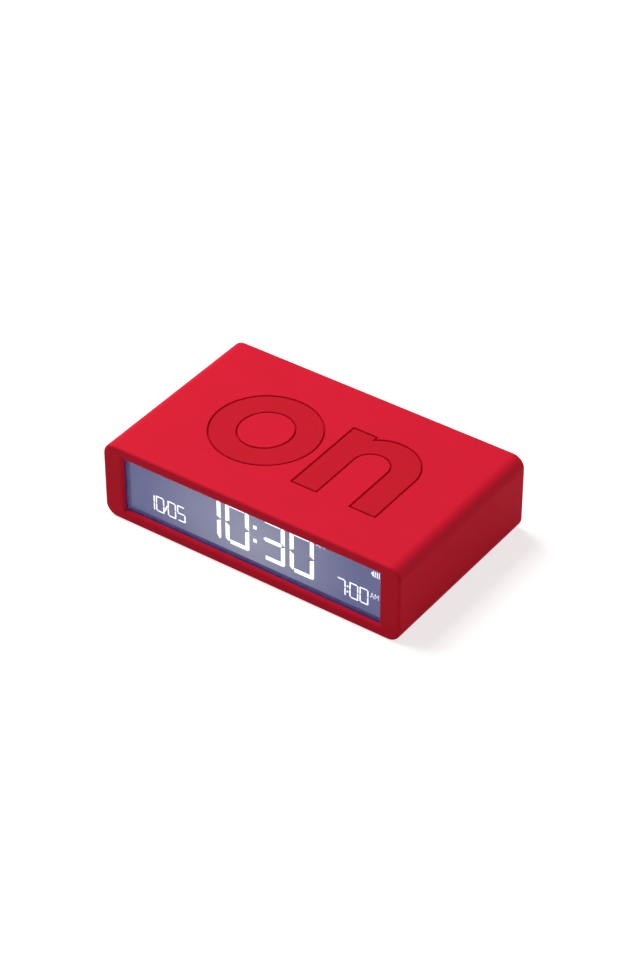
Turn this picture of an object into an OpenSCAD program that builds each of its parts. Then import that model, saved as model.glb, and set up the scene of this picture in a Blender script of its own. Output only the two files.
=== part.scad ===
// Reversible digital alarm clock.
// It lies on either of its two large faces: one face up arms the alarm, the other face up turns it off,
// and a ball switch inside senses which way up it lies.
// Front is -Y, right is +X and up is +Z. The origin is the middle of the bottom face. Sizes are in mm.

/* [Case] */
// Overall width, left to right
case_w = 110; // [99:0.5:125]
// Overall depth, front to back
case_d = 68; // [66:0.5:90]
// Overall height
case_h = 27.5; // [24.5:0.5:34]
// Thickness of the top, bottom and side walls
wall = 1.8; // [1.5:0.1:1.8]
// Thickness of the front wall
front_wall = 2; // [1.8:0.1:3]
// Radius of the four long edges
corner_r = 4.3; // [3:0.1:6]
// Rounding of the front and rear rims
rim_r = 0.85; // [0.4:0.05:1.2]
// How far the rear panel and the battery door sit inside the rear rim
rear_inset = 0.8; // [0.7:0.1:1.4]

/* [Display] */
// Width of the front wall left and right of the window
window_side = 7.35; // [6.5:0.05:11]
// Height of the front wall above and below the window
window_edge = 3.95; // [3.8:0.05:6]
// Rounding of the window's front edge
window_round = 1.1; // [0.4:0.1:1.1]
// Thickness of the wall at the window, in front of the clear window
lip_t = 1.2; // [1.1:0.1:1.5]
// Width of the seat behind the lip that the clear window is glued to
lens_border = 1.4; // [0.8:0.1:1.6]
// Thickness of the clear window
lens_t = 1; // [0.9:0.1:2]
// Width of the front wall plus the display frame's lip, left and right of the display field
field_side = 7.45; // [7:0.05:12]
// The same above and below the display field
field_edge = 3.5; // [3.3:0.05:6]
// Depth of the display frame's front lip
mask_t = 2; // [0.5:0.1:3]
// Thickness of each glass plate of the display
glass_t = 0.7; // [0.4:0.1:1.1]
// Thickness of the polarising films and of the reflector
film_t = 0.2; // [0.1:0.05:0.4]
// Thickness of the light guide behind the display
guide_t = 2.4; // [2:0.1:4]
// Thickness of the circuit boards
board_t = 1.6; // [0.8:0.1:2]

/* [Battery bay] */
// Gap between the battery bay and the top and bottom walls; the two cells fill the rest of the height
bay_gap = 0.4; // [0.3:0.05:1]
// Width inside the housing left of the battery bay
bay_margin = 6; // [5.5:0.1:8]
// Width inside the housing right of the battery bay, for the keys; the cells fill the rest of the width
bay_beside = 51.3; // [47.3:0.1:55.3]
// Length that a coil contact and its plate take up when the cell is in
spring_l = 4; // [3.9:0.1:5]
// Wire diameter of the coil contacts
spring_wire = 0.5; // [0.4:0.05:0.5]
// Turns of each coil contact
spring_turns = 3; // [2:1:3]
// Thickness of the stamped contact plates
contact_t = 0.4; // [0.3:0.05:0.5]
// Thickness of the bay's end walls
bay_wall = 1.5; // [1:0.1:2]
// Thickness of the bay's top and bottom walls
bay_skin = 0.8; // [0.6:0.05:0.9]
// Thickness of the chassis plate, which is the bay's floor
plate_t = 1.6; // [1.2:0.1:2.4]

/* [Rear panel and door] */
// Thickness of the rear panel and the battery door
panel_t = 2; // [1.8:0.1:2.4]
// Gap round the rear panel and the battery door
panel_gap = 0.3; // [0.25:0.05:0.5]
// Width of the rear panel's screw flange, which lies under the door
flange_w = 8; // [7:0.1:10]
// Rounding of the door's outer left edge, on which it tilts open
tilt_r = 0.6; // [0.4:0.05:0.8]
// How far the door's tabs reach out of its left edge
tab_reach = 1.1; // [0.7:0.05:1.2]

/* [Keys] */
// Diameter of a setting key
key_d = 6.4; // [5:0.1:7]
// Radial clearance of a key in its hole
key_clear = 0.15; // [0.1:0.05:0.3]
// How far a key stands out of the rear panel
key_proud = 0.6; // [0.3:0.1:0.7]
// Travel of a key when it is pressed
key_travel = 0.5; // [0.2:0.05:0.6]
// Distance between neighbouring keys
key_pitch = 10; // [9.4:0.1:10.4]

/* [Hidden] */
$fn = 64;

// Colours
RED = "#d3202f";
NAVY = "#2c2a4a";
BOARD_GREEN = "#1f6b3a";
STEEL = "silver";
GOLD = "#c9a24a";
BLACK = "#202022";
WHITE = "#ececea";

// Small amount by which a cut runs past the face that it opens
past = 0.5;
// Small amount by which joined parts of one piece run into each other
bite = 0.2;

// Inside of the housing
in_w = case_w - 2 * wall;
in_h = case_h - 2 * wall;
in_r = corner_r - wall;
x_in = in_w / 2;
z_in = in_h / 2;
y_front = -case_d / 2;
y_back = case_d / 2;
y_in = y_front + front_wall;
// Clearance of the pieces that slide into the housing
slide_fit = 0.2;

// Display stack, from the front wall backwards
window_w = case_w - 2 * window_side;
window_h = case_h - 2 * window_edge;
seat_w = window_w + 2 * lens_border;
seat_h = window_h + 2 * lens_border;
lens_fit = 0.1;
y_lens = y_front + lip_t;
y_mask = y_lens + lens_t;
y_film = y_mask + mask_t;
y_front_glass = y_film + film_t;
y_rear_glass = y_front_glass + glass_t;
y_rear_film = y_rear_glass + glass_t;
y_guide = y_rear_film + film_t;
y_reflector = y_guide + guide_t;
y_board = y_reflector + film_t;
y_board_back = y_board + board_t;
field_w = case_w - 2 * field_side;
field_h = case_h - 2 * field_edge;
frame_w = in_w - 2 * slide_fit;
frame_h = in_h - 2 * slide_fit;
frame_side = 1;
frame_edge = 0.8;
pocket_w = frame_w - 2 * frame_side;
pocket_h = frame_h - 2 * frame_edge;
glass_fit = 0.1;
glass_w = pocket_w - 2 * glass_fit;
glass_h = pocket_h - 2 * glass_fit;
film_margin = 0.2;
// The front glass runs past the rear one at each end, as a contact ledge
ledge = 2.8;
rear_glass_w = glass_w - 2 * ledge;
guide_w = rear_glass_w - 2 * film_margin;
guide_h = glass_h - 2 * film_margin;
zebra_w = 2;
zebra_in = 1.5;
zebra_h = glass_h - 2 * zebra_in;
zebra_x = rear_glass_w / 2 + ledge / 2;
led_w = 1.2;
led_h = 3;
led_depth = 1.6;
led_gap = 0.1;
led_x = guide_w / 2 - led_w / 2;
hook_t = frame_side;
hook_lip = 0.6;
hook_h = 6;
hook_reach = 1.2;
hook_play = 0.05;
board_fit = 0.2;
board_w = frame_w - 2 * (hook_t + board_fit);
board_h = frame_h;

// Rear closure
y_panel = y_back - rear_inset;
y_panel_in = y_panel - panel_t;
panel_h = in_h - 2 * panel_gap;
panel_r = in_r - panel_gap;
x_panel_end = x_in - panel_gap;

// Battery bay: two cells along X, one above the other, lying nose to tail
cell_gap = 0.8;
cell_rest = 0.2;
cell_apart = 0.2;
cell_side = 0.15;
cell_bevel = 0.4;
nub_r = 1.9;
nub_l = 0.8;
contact_gap = 0.1;
cell_d = in_h / 2 - bay_gap - bay_skin - cell_side - cell_apart / 2;
bay_len = in_w - bay_margin - bay_beside;
cell_l = bay_len - contact_t - spring_l - 2 * contact_gap;
z_cell = (cell_d + cell_apart) / 2;
y_cell = y_panel_in - cell_gap - cell_d / 2;
y_plate_back = y_cell - cell_d / 2 - cell_rest;
y_plate = y_plate_back - plate_t;
bay_x0 = -x_in + bay_margin;
bay_x1 = bay_x0 + bay_len;
bay_mid = (bay_x0 + bay_x1) / 2;
bay_h = 2 * z_cell + cell_d + 2 * cell_side;
door_rest = 0.1;
rib_w = 1.2;
rib_l = 2.4;
contact_w = 8.6;
tail_w = 2.4;
tail_l = 2.4;
tail_fit = 0.2;

// The coil contacts are cones that stand on their plates
spring_base_r = 3.4;
spring_tip_r = 1.9;
spring_reach = spring_l - contact_t;
rings_per_curl = 8;
rings_apart = rings_per_curl - 2;
wire_sides = 6;

// Door and panel meet at x_split
x_split = bay_x1 + bay_wall + flange_w;
x_panel = x_split + panel_gap;
x_tilt = -x_panel_end + tilt_r;
y_tilt = y_panel - tilt_r;
tab_t = 0.9;
tab_h = 5;
tab_z = 6.5;
tab_fit = 0.2;
// Depth that a tab swings below the door's inner face before it leaves its slot
tab_sweep = 1.1;
// The door's left corners are rounder than the housing's, so that they clear them as it tilts
door_ease = 1.2;
door_corner_r = panel_r + door_ease;
door_ledge = 1;
door_ledge_h = 6;
door_ledge_t = 1.5;
door_ledge_gap = 0.25;
door_rib_t = 0.5;
door_rib_x = 13;
door_rib_in = 1;
nib_out = 0.2;
nib_t = 0.6;
nib_h = 8;
nib_up = 0.4;
catch_depth = 0.15;
nail_r = 5;
nail_depth = 1;
step_t = 1.5;
flange_t = 1.5;
flange_drop = 1.8;
y_flange = y_panel_in - flange_drop - flange_t;
flange_x = bay_x1 + bay_wall + panel_gap;
flange_in = 0.5;
flange_h = panel_h - 2 * flange_in;
hold_t = 1.4;
hold_h = 10;
hold_reach = 1;

// Screws, and the posts and bosses that they go into
screw_r = 0.9;
pilot_r = 0.95;
screw_hole_r = 1.15;
screw_head_r = 1.7;
screw_head_t = 1.2;
screw_l = 6;
pilot_l = 7;
cross_l = 2.2;
cross_w = 0.5;
cross_depth = 0.6;
post_r = 2.4;
boss_l = 9;
boss_x = x_in - post_r + bite;
panel_post_x = (flange_x + x_panel) / 2;
panel_post_z = 6.5;

// Keys and the board behind them
y_key_top = y_panel + key_proud;
key_play = 0.1;
key_edge = 0.5;
key_flange_t = 0.9;
key_flange_w = 0.8;
key_flange_r = key_d / 2 + key_flange_w;
y_key = y_panel_in - key_play - key_flange_t;
plunger_r = 1.6;
plunger_out = 0.9;
plunger_in = 1.4;
plunger_fit = 0.1;
switch_w = 6;
switch_t = 3.4;
y_switch = y_key - plunger_out;
y_keys_back = y_switch - switch_t;
y_keys_board = y_keys_back - board_t;
keys_in = 7.6;
key_x = x_panel + keys_in;
key_z = key_pitch / 2;
keys_gap = 0.7;
keys_end = 2.1;
keys_edge = 0.6;
keys_x0 = x_panel + step_t + keys_gap;
keys_x1 = x_panel_end - post_r - keys_end;
keys_h = panel_h - 2 * keys_edge;
buzzer_r = 4.5;
buzzer_t = 4.2;
buzzer_hole_r = 1;
buzzer_hole_l = 1.5;
buzzer_in = 9.2;
buzzer_x = x_panel_end - buzzer_in;
sound_hole_r = 0.6;
sound_ring_r = 2.2;
sound_holes = 6;
reset_in = 6.3;
reset_x = key_x + key_pitch + reset_in;
reset_z = -7.6;
reset_hole_r = 0.8;
reset_w = 3.6;
reset_t = 2;
reset_floor = 0.4;
reset_plunger_r = 0.9;
reset_travel = 0.3;
board_screws_at = [[key_x + key_pitch / 2, 0], [reset_x, 5.6]];
rest_post_r = 1.6;
rest_post_in = 2.4;

// Parts on the main board
blob_r = 5;
blob_t = 1.6;
blob_x = -8;
crystal_r = 1;
crystal_l = 6;
crystal_x = 3;
seat_play = 0.1;
can_r = 2;
can_wall = 0.4;
can_l = 7;
can_x = 16;
y_can = y_board_back + can_r + seat_play;
header_t = 0.8;
ball_r = 1.35;
ball_play = 0.05;
leaf_t = 0.3;
leaf_w = 3;
leaf_x = -20;
leaf_reach = 7;
leaf_foot = 5;
leaf_knee = 9;
leaf_play = 0.05;
foil_t = 0.1;
foil_w = 60;
foil_start = 3;
foil_end = 6;
arm_in = 18.2;
arm_x = x_in - arm_in;
arm_t = 3;
arm_h = 14;

// Ribbon and battery leads
ribbon_w = 8;
ribbon_t = 0.3;
ribbon_in = 11.2;
ribbon_x_back = x_in - ribbon_in;
ribbon_shift = 2;
ribbon_x_front = ribbon_x_back - ribbon_shift;
ribbon_slot = 1.6;
ribbon_fit = 0.5;
ribbon_steps = 16;
socket_w = 3;
socket_rim = 1;
socket_h = ribbon_w + 2 * socket_rim;
socket_t = 2;
y_ribbon_back = y_keys_board - socket_t;
y_ribbon_front = y_board_back + socket_t;
lead_r = 0.65;
lead_sides = 8;
lead_steps = 16;
lead_in = 6;
lead_x = bay_x0 + lead_in;
lead_z = 4;
lead_ease = 14;

// Vectors
function unit(v) = v / norm(v);
function square_to(u, t) = unit(u - (u * t) * t);
function along(p, i) = unit(p[min(i + 1, len(p) - 1)] - p[max(i - 1, 0)]);
function any_side(t) = abs(t.z) < 0.9 ? [0, 0, 1] : [1, 0, 0];

// Path of a coil contact from its plate at x = 0: a straight foot, a cone of turns and a straight tip
spring_steps = spring_turns * rings_per_curl;
function coil_r(s) = spring_base_r + (spring_tip_r - spring_base_r) * s;
function coil_x(s) = spring_wire + (spring_reach - 2 * spring_wire) * s;
function coil_at(x, s) = let (a = 360 * spring_turns * s) [x, coil_r(s) * cos(a), coil_r(s) * sin(a)];
coil_path = concat(
    [coil_at(0, 0)],
    [for (i = [0:spring_steps]) coil_at(coil_x(i / spring_steps), i / spring_steps)],
    [coil_at(spring_reach, 1)]
);

// Least gap between one turn of the coil and the next, from points more than half a turn apart
coil_gap = min([
    for (i = [0:len(coil_path) - 1], j = [i + rings_apart:1:len(coil_path) - 1])
        norm(coil_path[i] - coil_path[j])
]) - spring_wire;
echo(least_gap_of_the_coil_contacts = coil_gap);

// Path of a lead from a contact's tail to the main board
function eased(a, b, s) = pow(1 - s, 3) * a + 3 * pow(1 - s, 2) * s * (a - [0, lead_ease, 0])
    + 3 * (1 - s) * s * s * (b + [0, lead_ease, 0]) + pow(s, 3) * b;
function lead_path(side) = [
    for (i = [0:lead_steps]) eased(
        [bay_x0 + contact_t / 2, y_plate - tail_l, side * z_cell],
        [lead_x, y_board_back, side * lead_z],
        i / lead_steps
    )
];

// Point on one side of the ribbon, from the main board's socket at s = 0 to the key board's at s = 1
function ribbon_at(s, out) = [
    ribbon_x_front + (ribbon_x_back - ribbon_x_front) * (1 - cos(180 * s)) / 2 + out,
    y_ribbon_front + (y_ribbon_back - y_ribbon_front) * s
];

// One unbroken round tube along the points of a path
module tube(path, r, sides) {
    n = len(path);
    across = [
        for (i = 0, u = square_to(any_side(along(path, 0)), along(path, 0)); i < n;
            i = i + 1, u = square_to(u, along(path, min(i, n - 1)))) u
    ];
    points = [
        for (i = [0:n - 1]) let (t = along(path, i), u = across[i], v = cross(t, u))
            for (k = [0:sides - 1]) path[i] + r * (cos(360 * k / sides) * u + sin(360 * k / sides) * v)
    ];
    walls = [
        for (i = [0:n - 2], k = [0:sides - 1])
            let (a = i * sides + k, b = i * sides + (k + 1) % sides)
                each [[a, a + sides, b], [b, a + sides, b + sides]]
    ];
    last = (n - 1) * sides;
    caps = [for (k = [1:sides - 2]) each [[0, k, k + 1], [last, last + k + 1, last + k]]];
    polyhedron(points, concat(walls, caps), convexity = 6);
}

// Rounded rectangle about the origin
module rounded_rect(w, h, r) {
    square([w - 2 * r, h], center = true);
    square([w, h - 2 * r], center = true);
    for (sx = [-1, 1], sy = [-1, 1]) translate([sx * (w / 2 - r), sy * (h / 2 - r)]) circle(r);
}

// Rounded rectangle across X and Z, from y0 back to y1
module slab(w, h, r, y0, y1) {
    translate([0, y1, 0]) rotate([90, 0, 0]) linear_extrude(y1 - y0) rounded_rect(w, h, r);
}

// Plain block, centred on x and z, from y0 back to y1
module block(w, h, y0, y1, x = 0, z = 0) {
    translate([x - w / 2, y0, z - h / 2]) cube([w, y1 - y0, h]);
}

// Block from x0 to x1, centred on z, from y0 back to y1
module span(x0, x1, h, y0, y1, z = 0) {
    block(x1 - x0, h, y0, y1, (x0 + x1) / 2, z);
}

// Round bar along Y, from y0 back to y1
module bar(r, y0, y1, x = 0, z = 0) {
    translate([x, y1, z]) rotate([90, 0, 0]) cylinder(r = r, h = y1 - y0);
}

// Pan-head screw whose head seats on the face at y and stands behind it
module screw(x, y, z) {
    difference() {
        union() {
            bar(screw_head_r, y, y + screw_head_t, x, z);
            bar(screw_r, y - screw_l, y + bite, x, z);
        }
        for (turn = [0, 90])
            translate([x, y + screw_head_t, z]) rotate([0, turn, 0])
                cube([cross_l, 2 * cross_depth, cross_w], center = true);
    }
}

// Pilot hole that a screw enters at y1
module pilot(x, y1, z) {
    bar(pilot_r, y1 - pilot_l, y1 + past, x, z);
}

// Outside of the housing: four rounded corner posts and two slabs, with rounded rims at both ends
module blank() {
    for (sx = [0, 1], sz = [0, 1])
        mirror([sx, 0, 0]) mirror([0, 0, sz])
            translate([case_w / 2 - corner_r, 0, case_h / 2 - corner_r])
                rotate([90, 0, 0]) rotate_extrude(angle = 90) {
                    translate([0, y_front]) square([corner_r - rim_r, case_d]);
                    translate([0, y_front + rim_r]) square([corner_r, case_d - 2 * rim_r]);
                    for (end = [-1, 1])
                        translate([corner_r - rim_r, end * (case_d / 2 - rim_r)]) circle(rim_r);
                }
    translate([-case_w / 2 + corner_r, 0, 0]) rotate([90, 0, 90])
        linear_extrude(case_w - 2 * corner_r) rounded_rect(case_d, case_h, rim_r);
    translate([0, 0, -case_h / 2 + corner_r])
        linear_extrude(case_h - 2 * corner_r) rounded_rect(case_w, case_d, rim_r);
}

// Profile of the window's cut, with a rounded mouth at the front, where y = 0
module mouth(w) {
    translate([-w / 2, window_round]) square([w, front_wall]);
    difference() {
        translate([-w / 2 - window_round, -past]) square([w + 2 * window_round, window_round + past]);
        for (side = [-1, 1]) translate([side * (w / 2 + window_round), window_round]) circle(window_round);
    }
}

// The window's cut: its corners are sharp and its four edges are rounded
module window_cut() {
    intersection() {
        translate([0, y_front, -case_h / 2]) linear_extrude(case_h) mouth(window_w);
        translate([-case_w / 2, y_front, 0]) rotate([0, 90, 0]) linear_extrude(case_w) mouth(window_h);
    }
}

// Both ends of the light guide and the reflector are notched for the lamps
module led_notches() {
    for (side = [-1, 1])
        block(led_w + 2 * led_gap, led_h + 2 * led_gap, y_board - led_depth - led_gap, y_board + past,
            side * led_x);
}

module housing() color(RED) {
    difference() {
        union() {
            difference() {
                blank();
                slab(in_w, in_h, in_r, y_in, y_back + past);
            }
            for (side = [-1, 1]) bar(post_r, y_plate - boss_l, y_plate, side * boss_x);
            span(-x_in - bite, -x_in + door_ledge, door_ledge_h,
                y_panel_in - door_ledge_gap - door_ledge_t, y_panel_in - door_ledge_gap);
        }
        window_cut();
        block(seat_w, seat_h, y_lens, y_in + past);
        for (side = [-1, 1]) pilot(side * boss_x, y_plate, 0);
        for (side = [-1, 1])
            span(-x_panel_end - tab_reach - tab_fit, -x_in + bite, tab_h + 2 * tab_fit,
                y_panel_in - tab_sweep, y_panel_in + tab_t + tab_fit, side * tab_z);
        span(x_in - bite, x_panel_end + hold_reach + tab_fit, hold_h + 2 * tab_fit,
            y_panel_in - hold_t - tab_fit, y_panel_in + tab_fit);
    }
}

module display_window() color("white", 0.3) {
    block(seat_w - 2 * lens_fit, seat_h - 2 * lens_fit, y_lens, y_mask);
}

module display_frame() color(NAVY) {
    difference() {
        slab(frame_w, frame_h, in_r - slide_fit, y_mask, y_board);
        block(field_w, field_h, y_mask - past, y_board);
        block(pocket_w, pocket_h, y_film, y_board + past);
    }
    for (side = [0, 1])
        mirror([side, 0, 0]) translate([frame_w / 2, y_board, -hook_h / 2]) linear_extrude(hook_h)
            polygon([
                [0, -bite],
                [0, board_t + hook_reach],
                [-hook_t / 2, board_t + hook_reach],
                [-hook_t - board_fit - hook_lip, board_t + hook_play],
                [-hook_t, board_t + hook_play],
                [-hook_t, -bite]
            ]);
}

module front_polariser() color("#8f92b4") {
    block(rear_glass_w, glass_h - 2 * film_margin, y_film, y_front_glass);
}

module lcd_front_glass() color("#a9aecb") {
    block(glass_w, glass_h, y_front_glass, y_rear_glass);
}

module lcd_rear_glass() color("#9aa0c2") {
    block(rear_glass_w, glass_h, y_rear_glass, y_rear_film);
}

module rear_polariser() color("#7d82a8") {
    block(guide_w, guide_h, y_rear_film, y_guide);
}

module light_guide() color("#dfe6f2") {
    difference() {
        block(guide_w, guide_h, y_guide, y_reflector);
        led_notches();
    }
}

module reflector_sheet() color(WHITE) {
    difference() {
        block(guide_w, guide_h, y_reflector, y_board);
        led_notches();
    }
}

module backlight_leds() color("ivory") {
    for (side = [-1, 1]) block(led_w, led_h, y_board - led_depth, y_board, side * led_x);
}

module zebra_strips() color(BLACK) {
    for (side = [-1, 1]) block(zebra_w, zebra_h, y_rear_glass, y_board, side * zebra_x);
}

module main_board() color(BOARD_GREEN) {
    slab(board_w, board_h, in_r - slide_fit, y_board, y_board_back);
}

module chip_blob() color(BLACK) {
    dome_r = (blob_r * blob_r + blob_t * blob_t) / (2 * blob_t);
    translate([blob_x, y_board_back, 0]) rotate([-90, 0, 0]) rotate_extrude() intersection() {
        translate([0, blob_t - dome_r]) circle(dome_r, $fn = 180);
        square([blob_r, blob_t]);
    }
}

module quartz_crystal() color(STEEL) {
    translate([crystal_x, y_board_back + crystal_r + seat_play, -crystal_l / 2])
        cylinder(r = crystal_r, h = crystal_l);
}

module tilt_can() color(STEEL) {
    translate([can_x, y_can, -can_l / 2 + header_t]) difference() {
        cylinder(r = can_r, h = can_l - header_t);
        translate([0, 0, -past]) cylinder(r = can_r - can_wall, h = can_l - header_t - can_wall + past);
    }
}

module tilt_header() color(BLACK) {
    translate([can_x, y_can, -can_l / 2]) cylinder(r = can_r, h = header_t);
}

module tilt_ball() color(GOLD) {
    translate([can_x, y_can, -can_l / 2 + header_t + ball_play + ball_r]) sphere(ball_r);
}

module touch_foil(side) {
    color(GOLD) translate([-foil_w / 2, y_board_back + foil_start, side * (z_in - foil_t / 2) - foil_t / 2])
        cube([foil_w, y_plate - foil_end - y_board_back - foil_start, foil_t]);
}

module upper_touch_foil() {
    touch_foil(1);
}

module lower_touch_foil() {
    touch_foil(-1);
}

// Leaf springs that stand on the main board and press on the two foils
module touch_contacts() color(GOLD) {
    tip = z_in - foil_t - leaf_play;
    for (side = [0, 1])
        mirror([0, 0, side]) translate([leaf_x - leaf_w / 2, y_board_back, 0]) rotate([90, 0, 90])
            linear_extrude(leaf_w) polygon([
                [0, leaf_foot],
                [0, leaf_knee + leaf_t],
                [leaf_reach, tip],
                [leaf_reach, tip - leaf_t],
                [leaf_t, leaf_knee],
                [leaf_t, leaf_foot]
            ]);
}

// Inner moulding: a plate with the battery bay and posts behind it, and two arms that hold the display
module chassis() color(WHITE) {
    difference() {
        union() {
            slab(frame_w, frame_h, in_r - slide_fit, y_plate, y_plate_back);
            difference() {
                span(bay_x0 - bay_wall, bay_x1 + bay_wall, bay_h + 2 * bay_skin,
                    y_plate_back - bite, y_panel_in - door_rest);
                span(bay_x0, bay_x1, bay_h, y_plate_back, y_panel_in);
            }
            span(bay_x0 - bite, bay_x1 + bite, rib_w, y_plate_back - bite, y_plate_back + rib_l);
            for (side = [-1, 1]) {
                block(arm_t, arm_h, y_board_back, y_plate + bite, side * arm_x);
                bar(post_r, y_plate_back - bite, y_flange, panel_post_x, side * panel_post_z);
            }
            for (at = board_screws_at) bar(post_r, y_plate_back - bite, y_keys_board, at.x, at.y);
            for (x = [keys_x0 + rest_post_in, keys_x1 - rest_post_in])
                bar(rest_post_r, y_plate_back - bite, y_keys_board, x, -keys_h / 2 + rest_post_in);
        }
        for (side = [-1, 1]) {
            bar(screw_hole_r, y_plate - past, y_plate_back + past, side * boss_x);
            pilot(panel_post_x, y_flange, side * panel_post_z);
            span(bay_x0 - tail_fit, bay_x0 + contact_t + tail_fit, tail_w + 2 * tail_fit,
                y_plate - past, y_plate_back + past, side * z_cell);
        }
        for (at = board_screws_at) bar(pilot_r, y_plate - past, y_keys_board + past, at.x, at.y);
        block(ribbon_slot, ribbon_w + 2 * ribbon_fit, y_plate - past, y_plate_back + past, ribbon_x_back);
    }
}

module chassis_screws() color(STEEL) {
    for (side = [-1, 1]) screw(side * boss_x, y_plate_back, 0);
}

// Dry cell with its flat end at x = 0 and its nub at x = cell_l
module cell() {
    r = cell_d / 2;
    body_l = cell_l - nub_l;
    rotate([0, 90, 0]) rotate_extrude() polygon([
        [0, 0],
        [r - cell_bevel, 0],
        [r, cell_bevel],
        [r, body_l - cell_bevel],
        [r - cell_bevel, body_l],
        [nub_r, body_l],
        [nub_r, cell_l],
        [0, cell_l]
    ]);
}

module upper_cell() color("#3a3f48") {
    translate([bay_x0 + contact_t + contact_gap + cell_l, y_cell, z_cell]) mirror([1, 0, 0]) cell();
}

module lower_cell() color("#3a3f48") {
    translate([bay_x1 - contact_t - contact_gap - cell_l, y_cell, -z_cell]) cell();
}

// Contact plate on the bay's left wall, with a solder tail through the chassis plate
module tail_plate(z) {
    span(bay_x0, bay_x0 + contact_t, contact_w, y_plate_back, y_cell + contact_w / 2, z);
    span(bay_x0, bay_x0 + contact_t, tail_w, y_plate - tail_l, y_plate_back + bite, z);
}

module positive_plate() color(STEEL) {
    tail_plate(z_cell);
}

module negative_plate() color(STEEL) {
    tail_plate(-z_cell);
}

module negative_spring() color(STEEL) {
    translate([bay_x0 + contact_t, y_cell, -z_cell]) tube(coil_path, spring_wire / 2, wire_sides);
}

module bridge_plate() color(STEEL) {
    span(bay_x1 - contact_t, bay_x1, 2 * z_cell + contact_w, y_plate_back + rib_l + cell_side,
        y_cell + contact_w / 2);
}

module bridge_spring() color(STEEL) {
    translate([bay_x1 - contact_t, y_cell, z_cell]) rotate([0, 0, 180])
        tube(coil_path, spring_wire / 2, wire_sides);
}

module red_lead() color("crimson") {
    tube(lead_path(1), lead_r, lead_sides);
}

module black_lead() color(BLACK) {
    tube(lead_path(-1), lead_r, lead_sides);
}

module key_board() color(BOARD_GREEN) {
    difference() {
        span(keys_x0, keys_x1, keys_h, y_keys_board, y_keys_back);
        for (at = board_screws_at) bar(screw_hole_r, y_keys_board - past, y_keys_back + past, at.x, at.y);
    }
}

module board_screws() color(STEEL) {
    for (at = board_screws_at) screw(at.x, y_keys_back, at.y);
}

module switch_bodies() color(BLACK) {
    for (ix = [0, 1], sz = [-1, 1])
        difference() {
            block(switch_w, switch_w, y_keys_back, y_switch, key_x + ix * key_pitch, sz * key_z);
            bar(plunger_r + plunger_fit, y_switch - plunger_in - key_travel - 2 * plunger_fit,
                y_switch + past, key_x + ix * key_pitch, sz * key_z);
        }
}

module reset_switch() color(BLACK) {
    difference() {
        block(reset_w, reset_w, y_keys_back, y_keys_back + reset_t, reset_x, reset_z);
        bar(reset_plunger_r + plunger_fit, y_keys_back + reset_floor, y_keys_back + reset_t + past,
            reset_x, reset_z);
    }
}

module reset_plunger() color(WHITE) {
    bar(reset_plunger_r, y_keys_back + reset_floor + reset_travel + plunger_fit,
        y_keys_back + reset_t + reset_travel + plunger_fit, reset_x, reset_z);
}

module buzzer() color(BLACK) {
    difference() {
        bar(buzzer_r, y_keys_back, y_keys_back + buzzer_t, buzzer_x);
        bar(buzzer_hole_r, y_keys_back + buzzer_t - buzzer_hole_l, y_keys_back + buzzer_t + past, buzzer_x);
    }
}

module ribbon_sockets() color(WHITE) {
    block(socket_w, socket_h, y_ribbon_back, y_keys_board, ribbon_x_back);
    block(socket_w, socket_h, y_board_back, y_ribbon_front, ribbon_x_front);
}

// Flat cable in one soft S from the main board's socket to the key board's
module ribbon_cable() color("lightgray") {
    translate([0, 0, -ribbon_w / 2]) linear_extrude(ribbon_w) polygon(concat(
        [for (i = [0:ribbon_steps]) ribbon_at(i / ribbon_steps, ribbon_t / 2)],
        [for (i = [ribbon_steps:-1:0]) ribbon_at(i / ribbon_steps, -ribbon_t / 2)]
    ));
}

// Setting key: a round cap with a soft edge, and a flange that keeps it behind the panel
module key(ix, sz) {
    r = key_d / 2;
    length = y_key_top - y_key;
    color(RED) translate([key_x + ix * key_pitch, y_key, sz * key_z]) rotate([-90, 0, 0]) {
        cylinder(r = key_flange_r, h = key_flange_t);
        rotate_extrude() {
            square([r - key_edge, length]);
            square([r, length - key_edge]);
            intersection() {
                translate([r - key_edge, length - key_edge]) circle(key_edge);
                square([r, length]);
            }
        }
    }
}

module mode_key() {
    key(0, 1);
}

module set_key() {
    key(0, -1);
}

module plus_key() {
    key(1, 1);
}

module minus_key() {
    key(1, -1);
}

// Plunger of the switch under a key
module plunger(ix, sz) {
    color(WHITE) bar(plunger_r, y_switch - plunger_in, y_key, key_x + ix * key_pitch, sz * key_z);
}

module mode_plunger() {
    plunger(0, 1);
}

module set_plunger() {
    plunger(0, -1);
}

module plus_plunger() {
    plunger(1, 1);
}

module minus_plunger() {
    plunger(1, -1);
}

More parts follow.
